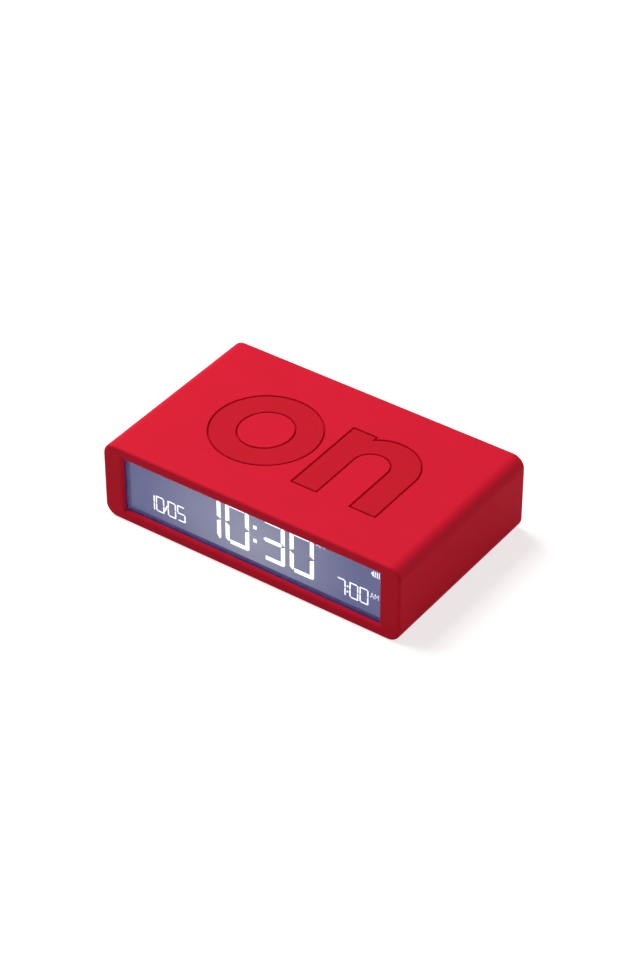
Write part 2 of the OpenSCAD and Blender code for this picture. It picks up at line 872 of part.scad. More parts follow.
module rear_panel() color(RED) {
    difference() {
        union() {
            intersection() {
                slab(2 * x_panel_end, panel_h, panel_r, y_panel_in, y_panel);
                span(x_panel, case_w, case_h, y_panel_in - past, y_panel + past);
            }
            span(x_panel, x_panel + step_t, flange_h, y_flange, y_panel_in + bite);
            span(flange_x, x_panel + bite, flange_h, y_flange, y_flange + flange_t);
            span(x_panel_end - 2 * hold_t, x_panel_end + hold_reach, hold_h,
                y_panel_in - hold_t, y_panel_in + bite);
        }
        for (ix = [0, 1], sz = [-1, 1])
            bar(key_d / 2 + key_clear, y_panel_in - past, y_panel + past,
                key_x + ix * key_pitch, sz * key_z);
        bar(reset_hole_r, y_panel_in - past, y_panel + past, reset_x, reset_z);
        bar(sound_hole_r, y_panel_in - past, y_panel + past, buzzer_x);
        for (k = [1:sound_holes])
            bar(sound_hole_r, y_panel_in - past, y_panel + past,
                buzzer_x + sound_ring_r * cos(360 * k / sound_holes),
                sound_ring_r * sin(360 * k / sound_holes));
        for (side = [-1, 1])
            bar(screw_hole_r, y_flange - past, y_flange + flange_t + past,
                panel_post_x, side * panel_post_z);
        bar(nail_r, y_panel - nail_depth, y_panel + past, x_panel);
        span(x_panel - past, x_panel + catch_depth, nib_h + 2 * tab_fit,
            y_panel_in + nib_up - tab_fit, y_panel_in + nib_up + nib_t);
    }
}

module panel_screws() color(STEEL) {
    for (side = [-1, 1]) screw(panel_post_x, y_flange + flange_t, side * panel_post_z);
}

// Snap door: two tabs at its left end, a nib at its right end, and ribs that hold the cells down
module battery_door() color(RED) {
    difference() {
        intersection() {
            slab(2 * x_panel_end, panel_h, door_corner_r, y_panel_in, y_panel);
            span(-case_w, x_split, case_h, y_panel_in - past, y_panel + past);
        }
        difference() {
            span(-case_w, x_tilt, case_h, y_tilt, y_panel + past);
            translate([x_tilt, y_tilt, -case_h]) cylinder(r = tilt_r, h = 2 * case_h);
        }
    }
    for (side = [-1, 1]) {
        span(-x_panel_end - tab_reach, -x_panel_end + bite, tab_h,
            y_panel_in, y_panel_in + tab_t, side * tab_z);
        span(bay_mid + side * door_rib_x - rib_w / 2, bay_mid + side * door_rib_x + rib_w / 2,
            bay_h - 2 * door_rib_in, y_panel_in - door_rib_t, y_panel_in + bite);
    }
    span(x_split - bite, x_split + nib_out, nib_h, y_panel_in + nib_up, y_panel_in + nib_up + nib_t);
}

// The modules are drawn about mid-height, so they are raised to stand on the bottom face
module raised() {
    translate([0, 0, case_h / 2]) children();
}

raised() housing();
raised() display_window();
raised() display_frame();
raised() front_polariser();
raised() lcd_front_glass();
raised() lcd_rear_glass();
raised() rear_polariser();
raised() light_guide();
raised() reflector_sheet();
raised() backlight_leds();
raised() zebra_strips();
raised() main_board();
raised() chip_blob();
raised() quartz_crystal();
raised() tilt_can();
raised() tilt_header();
raised() tilt_ball();
raised() upper_touch_foil();
raised() lower_touch_foil();
raised() touch_contacts();
raised() chassis();
raised() chassis_screws();
raised() upper_cell();
raised() lower_cell();
raised() positive_plate();
raised() negative_plate();
raised() negative_spring();
raised() bridge_plate();
raised() bridge_spring();
raised() red_lead();
raised() black_lead();
raised() key_board();
raised() board_screws();
raised() switch_bodies();
raised() reset_switch();
raised() reset_plunger();
raised() buzzer();
raised() ribbon_sockets();
raised() ribbon_cable();
raised() mode_key();
raised() set_key();
raised() plus_key();
raised() minus_key();
raised() mode_plunger();
raised() set_plunger();
raised() plus_plunger();
raised() minus_plunger();
raised() rear_panel();
raised() panel_screws();
raised() battery_door();
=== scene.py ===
"""Looks of a reversible digital alarm clock round its CAD frame.

Front is -Y, right is +X and up is +Z. Sizes are in millimetres and become metres when a mesh is made.
"""

import math
from collections import namedtuple

import bmesh
import bpy
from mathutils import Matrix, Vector


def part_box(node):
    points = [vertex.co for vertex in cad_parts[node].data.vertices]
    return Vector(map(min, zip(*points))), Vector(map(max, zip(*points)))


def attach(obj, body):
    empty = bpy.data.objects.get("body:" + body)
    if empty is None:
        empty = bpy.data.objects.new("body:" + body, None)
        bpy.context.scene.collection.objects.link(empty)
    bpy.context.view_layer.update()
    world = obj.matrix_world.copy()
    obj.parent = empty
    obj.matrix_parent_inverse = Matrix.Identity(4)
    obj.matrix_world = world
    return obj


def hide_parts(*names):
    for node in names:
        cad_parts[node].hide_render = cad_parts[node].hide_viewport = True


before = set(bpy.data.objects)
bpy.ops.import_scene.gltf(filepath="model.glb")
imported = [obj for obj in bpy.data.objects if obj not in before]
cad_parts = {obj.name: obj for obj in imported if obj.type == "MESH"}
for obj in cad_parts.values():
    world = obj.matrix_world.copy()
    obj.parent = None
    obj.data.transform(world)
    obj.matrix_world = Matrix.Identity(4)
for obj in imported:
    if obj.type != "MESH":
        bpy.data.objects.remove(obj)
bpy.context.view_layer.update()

MM = 0.001


def box_mm(node):
    """Lowest and highest corner of a CAD node in millimetres."""
    low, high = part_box(node)
    return low / MM, high / MM


case_h = box_mm("housing")[1].z


# Materials


def linear(code):
    """Linear colour of an sRGB hex code."""
    channels = [int(code[i : i + 2], 16) / 255 for i in (1, 3, 5)]
    return [c / 12.92 if c <= 0.04045 else ((c + 0.055) / 1.055) ** 2.4 for c in channels] + [1.0]


def add(tree, kind, values=None, links=None, **settings):
    """Adds one node with its settings, the values of its sockets and the links into them."""
    made = tree.nodes.new(kind)
    for name, value in settings.items():
        setattr(made, name, value)
    for name, value in (values or {}).items():
        made.inputs[name].default_value = value
    for name, source in (links or {}).items():
        tree.links.new(source, made.inputs[name])
    return made


def blank_material(name):
    """New material with no nodes yet."""
    made = bpy.data.materials.new(name)
    made.use_nodes = True
    made.node_tree.nodes.clear()
    return made


def two_tone(tree, factor, tones, low=0.3, high=0.7):
    """Colour that runs from the first tone to the second as the factor rises."""
    ramp = add(tree, "ShaderNodeValToRGB", links={"Fac": factor})
    for stop, at, code in zip(ramp.color_ramp.elements, (low, high), tones):
        stop.position = at
        stop.color = linear(code)
    return ramp.outputs["Color"]


def surface(name, tones, shader, patch, rough, grain, depth):
    """Material whose tone and gloss drift over patches, with a fine grain in its height.

    patch and grain are the sizes of the two patterns and depth is the height of the grain, in mm.
    """
    made = blank_material(name)
    tree = made.node_tree
    place = add(tree, "ShaderNodeTexCoord").outputs["Object"]
    drift = add(tree, "ShaderNodeTexNoise", {"Scale": 1 / (patch * MM), "Detail": 3.0}, {"Vector": place})
    fine = add(tree, "ShaderNodeTexNoise", {"Scale": 1 / (grain * MM), "Detail": 2.0}, {"Vector": place})
    gloss = add(
        tree,
        "ShaderNodeMapRange",
        {"To Min": rough[0], "To Max": rough[1]},
        {"Value": drift.outputs["Fac"]},
    )
    bump = add(tree, "ShaderNodeBump", {"Distance": depth * MM}, {"Height": fine.outputs["Fac"]})
    bsdf = add(
        tree,
        "ShaderNodeBsdfPrincipled",
        shader,
        {
            "Base Color": two_tone(tree, drift.outputs["Fac"], tones),
            "Roughness": gloss.outputs["Result"],
            "Normal": bump.outputs["Normal"],
        },
    )
    add(tree, "ShaderNodeOutputMaterial", links={"Surface": bsdf.outputs["BSDF"]})
    return made


def glowing(name, base, edge, middle, centre, reach):
    """Material lit from behind, whose light runs from the middle tone at the centre to the edge tone.

    reach is how far the light spreads along each axis, in mm, and 0 where it doesn't change along it.
    """
    made = blank_material(name)
    tree = made.node_tree
    place = add(tree, "ShaderNodeTexCoord").outputs["Object"]
    scale = [1 / (r * MM) if r else 0.0 for r in reach]
    moved = add(
        tree,
        "ShaderNodeMapping",
        {"Location": [-c * MM * s for c, s in zip(centre, scale)], "Scale": scale},
        {"Vector": place},
    )
    spread = add(
        tree, "ShaderNodeTexGradient", links={"Vector": moved.outputs["Vector"]}, gradient_type="SPHERICAL"
    )
    bsdf = add(
        tree,
        "ShaderNodeBsdfPrincipled",
        {"Base Color": linear(base), "Roughness": 0.5, "Specular IOR Level": 0.1, "Emission Strength": 1.0},
        {"Emission Color": two_tone(tree, spread.outputs["Fac"], (edge, middle), 0.0, 1.0)},
    )
    add(tree, "ShaderNodeOutputMaterial", links={"Surface": bsdf.outputs["BSDF"]})
    return made


PLASTIC = {"IOR": 1.5, "Specular IOR Level": 0.35}
COATING = {"IOR": 1.5, "Specular IOR Level": 0.1}
# Plastic with a faint painted glow: a weak blue emission in place of light that reaches the display frame
PAINTED_GLOW_PLASTIC = {
    "IOR": 1.5,
    "Specular IOR Level": 0.06,
    "Emission Color": linear("#463CA4"),
    "Emission Strength": 0.2,
}
COATED_ACRYLIC = {"IOR": 1.49, "Transmission Weight": 1.0, "Specular Tint": linear("#8A86A8")}
ACRYLIC = {"IOR": 1.49, "Transmission Weight": 0.8}
GLASS = {"IOR": 1.52, "Transmission Weight": 0.9}
METAL = {"Metallic": 1.0}

finishes = {
    # Sprayed rubbery paint: even, matt and velvety, with broad faint highlights on the rounded edges.
    # Its grain is about 0.05 mm in reality and is drawn coarser, so that it shows.
    "red_soft_touch": surface(
        "soft-touch coated ABS", ("#E01732", "#E41935"), COATING,
        patch=14, rough=(0.66, 0.74), grain=0.4, depth=0.004,
    ),
    # Moulded rubber, a little duller and deeper than the case, so that the keys stand apart from it
    "red_key": surface(
        "silicone rubber, red", ("#C41C2A", "#CC1F2E"), PLASTIC,
        patch=5, rough=(0.55, 0.65), grain=0.3, depth=0.004,
    ),
    # Clear sheet, coated so that it mirrors only a little
    "clear_window": surface(
        "clear acrylic, coated", ("#FBFBFD", "#FFFFFF"), COATED_ACRYLIC,
        patch=20, rough=(0.0, 0.02), grain=8, depth=0.0004,
    ),
    # Moulded dark blue, with a faint painted blue glow in place of the display lamps' light reaching it
    "navy_moulding": surface(
        "dark blue ABS", ("#1C1838", "#221D44"), PAINTED_GLOW_PLASTIC,
        patch=6, rough=(0.6, 0.7), grain=0.3, depth=0.004,
    ),
    # Blue-grey film that glows most near the middle of the display
    "display_film": glowing(
        "polarising film, lit from behind",
        base="#23253A",
        edge="#474C79",
        middle="#86889C",
        centre=(-2, 0, 12),
        reach=(39, 0, 34),
    ),
    # Thin glass with a greenish edge
    "display_glass": surface(
        "float glass", ("#DDE8E4", "#E6F0EC"), GLASS,
        patch=20, rough=(0.0, 0.03), grain=8, depth=0.0004,
    ),
    # Clear plate, slightly milky from the dots that spread its light
    "light_guide": surface(
        "clear acrylic", ("#EEF2FA", "#F6F9FE"), ACRYLIC,
        patch=20, rough=(0.05, 0.1), grain=5, depth=0.001,
    ),
    # Bright satin white
    "white_sheet": surface(
        "white polyester film", ("#EFEFEC", "#F7F7F5"), PLASTIC,
        patch=10, rough=(0.3, 0.4), grain=0.5, depth=0.002,
    ),
    # Milky yellow lamps
    "lamp_resin": surface(
        "phosphor-filled silicone", ("#E8DC9A", "#F0E6AE"), PLASTIC,
        patch=1, rough=(0.3, 0.4), grain=0.2, depth=0.002,
    ),
    # Dull black, filled with carbon
    "black_rubber": surface(
        "conductive rubber", ("#161617", "#1E1E20"), PLASTIC,
        patch=2, rough=(0.7, 0.8), grain=0.2, depth=0.005,
    ),
    # Dark green lacquer with the weave faintly showing through
    "circuit_board": surface(
        "glass-epoxy board, green lacquer", ("#145A30", "#1D6E3C"), PLASTIC,
        patch=2.5, rough=(0.3, 0.42), grain=0.6, depth=0.008,
    ),
    # Poured black resin with a soft sheen
    "black_resin": surface(
        "black epoxy", ("#141415", "#1B1B1D"), PLASTIC,
        patch=2, rough=(0.35, 0.5), grain=0.3, depth=0.004,
    ),
    # Warm grey, softly mirror-like, with streaks of duller metal
    "nickel_plate": surface(
        "nickel-plated steel", ("#B9B6AE", "#C9C7C0"), METAL,
        patch=1.5, rough=(0.2, 0.34), grain=0.2, depth=0.002,
    ),
    # Pale yellow metal, satin
    "gold_plate": surface(
        "gold-plated brass", ("#C79A45", "#D2A956"), METAL,
        patch=2, rough=(0.25, 0.35), grain=0.2, depth=0.002,
    ),
    # Cool white with a dull moulded skin
    "white_moulding": surface(
        "white polystyrene", ("#DEDEDA", "#E8E8E4"), PLASTIC,
        patch=8, rough=(0.42, 0.55), grain=0.35, depth=0.005,
    ),
    # Shrunk plastic sleeve, blue and shiny
    "cell_can": surface(
        "printed PVC sleeve", ("#23657F", "#29708C"), PLASTIC,
        patch=6, rough=(0.2, 0.28), grain=0.6, depth=0.002,
    ),
    # Drawn wire covers with a waxy shine
    "red_insulation": surface(
        "red PVC", ("#B01A20", "#BC2026"), PLASTIC,
        patch=2, rough=(0.35, 0.45), grain=0.2, depth=0.003,
    ),
    "black_insulation": surface(
        "black PVC", ("#171718", "#202022"), PLASTIC,
        patch=2, rough=(0.35, 0.45), grain=0.2, depth=0.003,
    ),
    # Flat grey cable, about one patch for each of its wires
    "grey_ribbon": surface(
        "grey PVC ribbon", ("#A2A4A6", "#B0B2B4"), PLASTIC,
        patch=1.3, rough=(0.4, 0.5), grain=0.2, depth=0.003,
    ),
}

# The inlaid letters have the case's coating in a deeper red
letter_finish = surface(
    "soft-touch coated ABS, deep red", ("#CF1328", "#D3152B"), COATING,
    patch=14, rough=(0.66, 0.74), grain=0.4, depth=0.004,
)
# Segments that let the white lamps through
segment_finish = glowing(
    "clear liquid crystal segments",
    base="#C9CCDA",
    edge="#E3E5F2",
    middle="#F4F5FC",
    centre=(0, 0, 13),
    reach=(60, 0, 30),
)
# Silver end of a cell's sleeve
silver_finish = surface(
    "printed PVC sleeve, silver", ("#B9BEC2", "#C4C9CD"), PLASTIC,
    patch=6, rough=(0.2, 0.28), grain=0.6, depth=0.002,
)
# Chalky white print
key_sign_finish = surface(
    "white silkscreen ink", ("#E4E2DE", "#EFEDEA"), PLASTIC,
    patch=1, rough=(0.5, 0.6), grain=0.2, depth=0.002,
)

# The clear window lets the light in to the display frame behind it, and each CAD node takes the finish
# that its slot is named for
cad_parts["display_window"].visible_shadow = False
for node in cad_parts.values():
    for place in node.material_slots:
        place.material = finishes[place.material.name]


# Meshes

SHARP_ANGLE = 30


def object_from(name, bm, materials, sharp_angle=SHARP_ANGLE):
    """Object from a finished bmesh, smooth but for the edges sharper than the angle."""
    mesh = bpy.data.meshes.new(name)
    bm.to_mesh(mesh)
    bm.free()
    for material in materials:
        mesh.materials.append(material)
    mesh.shade_smooth()
    mesh.set_sharp_from_angle(angle=math.radians(sharp_angle))
    made = bpy.data.objects.new(name, mesh)
    bpy.context.scene.collection.objects.link(made)
    return made


def piece(name, points, faces, materials, kinds=None, sharp_angle=SHARP_ANGLE):
    """Object from points in millimetres and faces; kinds gives the material of each face."""
    bm = bmesh.new()
    made = [bm.verts.new(Vector(p) * MM) for p in points]
    for index, face in enumerate(faces):
        bm.faces.new([made[i] for i in face]).material_index = kinds[index] if kinds else 0
    bmesh.ops.recalc_face_normals(bm, faces=bm.faces)
    return object_from(name, bm, materials, sharp_angle)


def belongs(made, body, slot, *nodes):
    """Ties a piece to its CAD body and hides the CAD nodes that it stands for; the slot is not used."""
    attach(made, body)
    if nodes:
        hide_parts(*nodes)
    return made


def welded(node):
    """Plain mesh of a CAD node, with its points joined and its flat faces made whole."""
    join_within, flat_within = 0.002, 0.2
    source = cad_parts[node].data
    bm = bmesh.new()
    points = [bm.verts.new(v.co) for v in source.vertices]
    for polygon in source.polygons:
        bm.faces.new([points[i] for i in polygon.vertices])
    bmesh.ops.remove_doubles(bm, verts=bm.verts, dist=join_within * MM)
    bmesh.ops.dissolve_limit(bm, angle_limit=math.radians(flat_within), verts=bm.verts, edges=bm.edges)
    return bm


def even_normals(made):
    """Keeps flat faces flat next to rounded edges."""
    made.modifiers.new("even normals", "WEIGHTED_NORMAL").keep_sharp = True


def joined(parts):
    """One list of points and one of faces from several pairs of them."""
    points, faces = [], []
    for more_points, more_faces in parts:
        faces += [tuple(i + len(points) for i in face) for face in more_faces]
        points += more_points
    return points, faces


def band(first, second, count):
    """Faces between two closed rings of points, given by the index of each ring's first point."""
    turns = [(i, (i + 1) % count) for i in range(count)]
    return [(first + a, first + b, second + b, second + a) for a, b in turns]


def ring_stack(rings, sides):
    """Faces of a closed solid from a stack of rings with the same number of points."""
    starts = [level * sides for level in range(rings)]
    walls = [face for low, high in zip(starts, starts[1:]) for face in band(low, high, sides)]
    caps = [tuple(range(first, first + sides)) for first in (starts[0], starts[-1])]
    return walls + caps


def plate(outline, near, far):
    """Points and faces of a flat plate between two depths, from its outline in X and Z."""
    points = [(x, y, z) for y in (near, far) for x, z in outline]
    return points, ring_stack(2, len(outline))


def arc(x, y, rx, ry, start, end, steps):
    """Points along an ellipse's arc, from one angle to another in degrees."""
    angles = [math.radians(start + (end - start) * i / steps) for i in range(steps + 1)]
    return [(x + rx * math.cos(a), y + ry * math.sin(a)) for a in angles]


# Words on the two large faces: letters inlaid almost flush, each with a narrow groove round it

# The groove reaches letter_gap to each side of a letter's outline and letter_depth down into the face.
# The letters lie letter_level below the face, and the edges along the groove are chamfered by letter_edge.
letter_gap = 0.28
letter_depth = 1.3
letter_level = 0.06
letter_edge = 0.08
cutter_rise = 1
circle_steps = 96
arch_steps = 48
counter_steps = 32
hook_outer_steps = 32
hook_inner_steps = 24


def round_letter(x, y, radius, bowl_x, bowl_y):
    """The letter o: a round outside and a bowl that is a little narrower than it is high."""

    def outline(growth):
        outer = arc(x, y, radius + growth, radius + growth, 0, 360, circle_steps)[:-1]
        inner = arc(x, y, bowl_x - growth, bowl_y - growth, 0, 360, circle_steps)[:-1]
        return [outer, inner]

    return outline


def arched_letter(left, foot, top, stroke, notch, arch_x, arch_y, arch_r, counter):
    """The letter n: a stem, and an arch that springs from a notch beside the stem's top."""
    right = arch_x + arch_r
    inner_x = (left + right) / 2
    inner_r = (right - left) / 2 - stroke

    def outline(growth):
        low, high = foot - growth, top + growth
        outer_r, counter_r = arch_r + growth, inner_r - growth
        notch_x = notch + growth
        spring = math.degrees(math.acos((notch_x - arch_x) / outer_r))
        return [
            [(left - growth, low), (inner_x - counter_r, low)]
            + arc(inner_x, counter, counter_r, counter_r, 180, 0, counter_steps)
            + [(inner_x + counter_r, low), (right + growth, low)]
            + arc(arch_x, arch_y, outer_r, outer_r, 0, spring, arch_steps)
            + [(notch_x, high), (left - growth, high)]
        ]

    return outline


def hooked_letter(left, foot, stroke, bar_low, bar_high, bar_left, bar_right, hook_y, hook_r, tip):
    """The letter f: a stem with a hook to the right at its top, and a bar across it."""
    hook_x = left + hook_r

    def outline(growth):
        x0, x1 = left - growth, left + stroke + growth
        y0, y1 = bar_low - growth, bar_high + growth
        end = hook_x + tip + growth
        outer, inner = hook_r + growth, hook_r - stroke - growth
        return [
            [(x0, foot - growth), (x1, foot - growth)]
            + [(x1, y0), (x1 + bar_right, y0), (x1 + bar_right, y1), (x1, y1)]
            + arc(hook_x, hook_y, inner, inner, 180, 90, hook_inner_steps)
            + [(end, hook_y + inner), (end, hook_y + outer)]
            + arc(hook_x, hook_y, outer, outer, 90, 180, hook_outer_steps)
            + [(x0, y1), (x0 - bar_left, y1), (x0 - bar_left, y0), (x0, y0)]
        ]

    return outline


word_on = [
    round_letter(x=-17.6, y=-0.3, radius=18.0, bowl_x=8.9, bowl_y=9.5),
    arched_letter(
        left=3.8, foot=-16.8, top=16.3, stroke=9.2, notch=12.5,
        arch_x=20.9, arch_y=4.2, arch_r=13.4, counter=3.2,
    ),
]
word_off = [round_letter(x=-22.4, y=-5.3, radius=15.2, bowl_x=7.4, bowl_y=7.9)] + [
    hooked_letter(
        left=left, foot=-20.5, stroke=7.8, bar_low=1.7, bar_high=8.6, bar_left=3.6, bar_right=5.2,
        hook_y=10.4, hook_r=12.6, tip=1.6,
    )
    for left in (0.4, 24.6)
]


def letter_solid(outline, levels):
    """Points and faces of one letter, whose outline grows as each (height, growth) level says."""
    points = [(x, y, height) for height, growth in levels for loop in outline(growth) for x, y in loop]
    sizes = [len(loop) for loop in outline(0)]
    count = sum(sizes)
    top = (len(levels) - 1) * count
    faces = []
    for level in range(len(levels) - 1):
        first = level * count
        for size in sizes:
            faces += band(first, first + count, size)
            first += size
    if len(sizes) == 1:
        faces += [tuple(range(count)), tuple(range(top, top + count))]
    else:
        faces += band(0, sizes[0], sizes[0]) + band(top, top + sizes[0], sizes[0])
    return points, faces


def letters(word, levels, underside):
    """The letters of a word; on the underside they lie as when the clock is rolled over sideways."""
    points, faces = joined([letter_solid(outline, levels) for outline in word])
    return [(-x, y, case_h - z) if underside else (x, y, z) for x, y, z in points], faces


# Levels of the pocket cut for a letter and of the letter in it, as (height, growth of the outline)
pocket = [
    (case_h - letter_depth, letter_gap),
    (case_h - letter_edge, letter_gap),
    (case_h, letter_gap + letter_edge),
    (case_h + cutter_rise, letter_gap + letter_edge),
]
inlay = [
    (case_h - letter_depth, -letter_gap),
    (case_h - letter_level - letter_edge, -letter_gap),
    (case_h - letter_level, -letter_gap - letter_edge),
]


def carved_case():
    """The housing with a pocket for each letter."""
    made = object_from("case", welded("housing"), [finishes["red_soft_touch"]])
    cutter = piece(
        "letter_cutter",
        *joined([letters(word_on, pocket, False), letters(word_off, pocket, True)]),
        [finishes["red_soft_touch"]],
    )
    cut = made.modifiers.new("letters", "BOOLEAN")
    cut.operation = "DIFFERENCE"
    cut.solver = "EXACT"
    cut.object = cutter
    graph = bpy.context.evaluated_depsgraph_get()
    carved = bpy.data.meshes.new_from_object(made.evaluated_get(graph))
    made.modifiers.clear()
    made.data = carved
    carved.shade_smooth()
    carved.set_sharp_from_angle(angle=math.radians(SHARP_ANGLE))
    bpy.data.objects.remove(cutter)
    even_normals(made)
    return belongs(made, "root", "red_soft_touch", "housing")


def inlaid_word(title, word, underside):
    """The letters that lie in the pockets of one face."""
    made = piece(title, *letters(word, inlay, underside), [letter_finish])
    even_normals(made)
    return belongs(made, "root", "red_soft_touch")


carved_case()
inlaid_word("on_letters", word_on, underside=False)
inlaid_word("off_letters", word_off, underside=True)


# Display

film_y = box_mm("front_polariser")[0].y
segment_t = 0.04
LIT = {"0": "abcdef", "1": "bc", "3": "abcdg", "5": "acdfg", "7": "abc"}

# Size of a row of figures: foot is its height on the display, room is the place of a colon or slash,
# dots are the heights of a colon's dots as shares of a figure's height, and dot is the size of a dot
Row = namedtuple("Row", "foot width height stroke gap pitch room dots dot")
time_row = Row(
    foot=6.3, width=8.9, height=15.4, stroke=1.5, gap=0.2, pitch=10.65, room=2.65, dots=(0.34, 0.67), dot=1.3
)
small_row = Row(
    foot=6.1, width=3.2, height=5.9, stroke=0.45, gap=0.05, pitch=3.65, room=0.9, dots=(0.31, 0.65), dot=0.6
)


def figure(sign, x0, row):
    """Outlines of the lit segments of one figure, which reads the same when the clock is turned over."""
    x1, z0, z1 = x0 + row.width, row.foot, row.foot + row.height
    zm = (z0 + z1) / 2
    t, gap = row.stroke, row.gap
    half, nick = t / 2, 0.4 * t
    left, right = x0 + half + gap, x1 - half - gap
    d = [(x0 + t + gap, z0), (x1 - nick - gap, z0), (x1 - t - gap, z0 + t), (x0 + t + gap, z0 + t)]
    c = [(x1 - nick, z0), (x1, z0 + nick), (x1, zm - gap), (x1 - t, zm - half - gap), (x1 - t, z0 + t + gap)]
    e = [
        (x0, z0 + t),
        (x0 + t - nick / 2, z0 + nick),
        (x0 + t, z0 + t),
        (x0 + t, zm - half - gap),
        (x0, zm - gap),
    ]
    g = [
        (left, zm),
        (left + half, zm + half),
        (right - half, zm + half),
        (right, zm),
        (right - half, zm - half),
        (left + half, zm - half),
    ]
    a, f, b = ([(x0 + x1 - x, z0 + z1 - z) for x, z in twin] for twin in (d, c, e))
    segments = {"a": a, "b": b, "c": c, "d": d, "e": e, "f": f, "g": g}
    return [segments[name] for name in LIT[sign]]


def stroke_between(x0, z0, x1, z1, t):
    """Outline of a straight stroke from one point to another."""
    along = Vector((x1 - x0, z1 - z0)).normalized() * t / 2
    side_x, side_z = -along.y, along.x
    return [
        (x0 + side_x, z0 + side_z),
        (x1 + side_x, z1 + side_z),
        (x1 - side_x, z1 - side_z),
        (x0 - side_x, z0 - side_z),
    ]


def slash(x, row):
    """Outline of a short leaning stroke."""
    lean, low, high, t = 1.1, 0.2, 0.62, 0.55
    z0, z1 = (row.foot + share * row.height for share in (low, high))
    return [stroke_between(x - lean / 2, z0, x + lean / 2, z1, t)]


def colon(x, row):
    """Outlines of two square dots, one above the other."""
    heights = [row.foot + share * row.height for share in row.dots]
    return [stroke_between(x - row.dot / 2, z, x + row.dot / 2, z, row.dot) for z in heights]


def figures(text, x, row):
    """Outlines of a row of figures that starts at x, with its colon or slash midway between two of them."""
    marks = {":": colon, "/": slash}
    outlines = []
    for sign in text:
        if sign in marks:
            middle = x + (row.room - row.pitch + row.width) / 2
            outlines += marks[sign](middle, row)
            x += row.room
        else:
            outlines += figure(sign, x, row)
            x += row.pitch
    return outlines


def morning_sign(x, z, h):
    """The two small letters that tell morning from afternoon."""
    w, t, gap, bar, dip = 0.6 * h, 0.065 * h, 0.22 * h, 0.32 * h, 0.4 * h
    m = x + w + gap
    strokes = [
        (x, z, x + w / 2, z + h),
        (x + w / 2, z + h, x + w, z),
        (x + 0.2 * w, z + bar, x + 0.8 * w, z + bar),
        (m, z, m, z + h),
        (m, z + h, m + w / 2, z + dip),
        (m + w / 2, z + dip, m + w, z + h),
        (m + w, z, m + w, z + h),
    ]
    return [stroke_between(*ends, t) for ends in strokes]


def charge_sign(x, z, h):
    """A pointed left end and three upright bars."""
    tip, gap, bar_t, bar_pitch, inset = 0.4 * h, 0.22 * h, 0.14 * h, 0.3 * h, 0.04 * h
    first = x + tip + gap
    bars = [first + bar_pitch * i for i in range(3)]
    point = [(x, z + h / 2), (x + tip, z + h), (x + tip, z)]
    return [point] + [stroke_between(bar, z + inset, bar, z + h - inset, bar_t) for bar in bars]


def lit_segments():
    """Time, date and alarm time on the display, as thin plates on the film."""
    outlines = figures("10:30", x=-21.75, row=time_row)
    outlines += figures("10/05", x=-41.5, row=small_row)
    outlines += figures("7:00", x=30.1, row=small_row)
    outlines += morning_sign(x=22.6, z=19.9, h=2.0)
    outlines += morning_sign(x=42.2, z=9.6, h=2.0)
    outlines += charge_sign(x=42.3, z=17.8, h=2.4)
    plates = [plate(outline, film_y - segment_t, film_y) for outline in outlines]
    made = piece("lit_segments", *joined(plates), [segment_finish])
    return belongs(made, "root", "display_film")


lit_segments()


# Rear side

panel_edge = 0.12
moulding_edge = 0.1
edge_segments = 3
edge_angle = 50
ink_t = 0.05
sign_w = 2.8
sign_t = 0.5
menu_pitch = 0.9
chevron_rise = 1.45
chevron_t = 0.75


def softened(title, node, body, slot, width):
    """A CAD node with its sharp moulded edges rounded off a little."""
    made = object_from(title, welded(node), [finishes[slot]])
    edge = made.modifiers.new("soft edges", "BEVEL")
    edge.width = width * MM
    edge.segments = edge_segments
    edge.limit_method = "ANGLE"
    edge.angle_limit = math.radians(edge_angle)
    edge.use_clamp_overlap = False
    even_normals(made)
    return belongs(made, body, slot, node)


def key_sign(title, node, body, outlines):
    """Printed sign on a key's cap, made of outlines as they are seen from the rear."""
    low, high = box_mm(node)
    middle = (low + high) / 2
    placed = [[(middle.x - x, middle.z + z) for x, z in outline] for outline in outlines]
    plates = [plate(outline, high.y, high.y + ink_t) for outline in placed]
    made = piece(title, *joined(plates), [key_sign_finish])
    return belongs(made, body, "red_key")


def level_bar(z):
    """Outline of a bar at a height."""
    return stroke_between(-sign_w / 2, z, sign_w / 2, z, sign_t)


def cross():
    """Outline of an upright cross."""
    reach, arm = sign_w / 2, sign_t / 2
    half = [(-reach, -arm), (-arm, -arm), (-arm, -reach), (arm, -reach), (arm, -arm), (reach, -arm)]
    return half + [(-x, -z) for x, z in half]


def chevron():
    """Outline of an arrow head that points up."""
    reach, foot = sign_w / 2, -(chevron_rise + chevron_t) / 2
    low = [(-reach, foot), (0, foot + chevron_rise), (reach, foot)]
    return low + [(x, z + chevron_t) for x, z in reversed(low)]


softened("rear_cover", "rear_panel", "root", "red_soft_touch", panel_edge)
softened("cell_door", "battery_door", "door", "red_soft_touch", panel_edge)
softened("inner_moulding", "chassis", "root", "white_moulding", moulding_edge)

key_sign("mode_sign", "mode_key", "mode_button", [level_bar(menu_pitch * i) for i in (-1, 0, 1)])
key_sign("set_sign", "set_key", "set_button", [chevron()])
key_sign("plus_sign", "plus_key", "plus_button", [cross()])
key_sign("minus_sign", "minus_key", "minus_button", [level_bar(0)])


# Battery bay


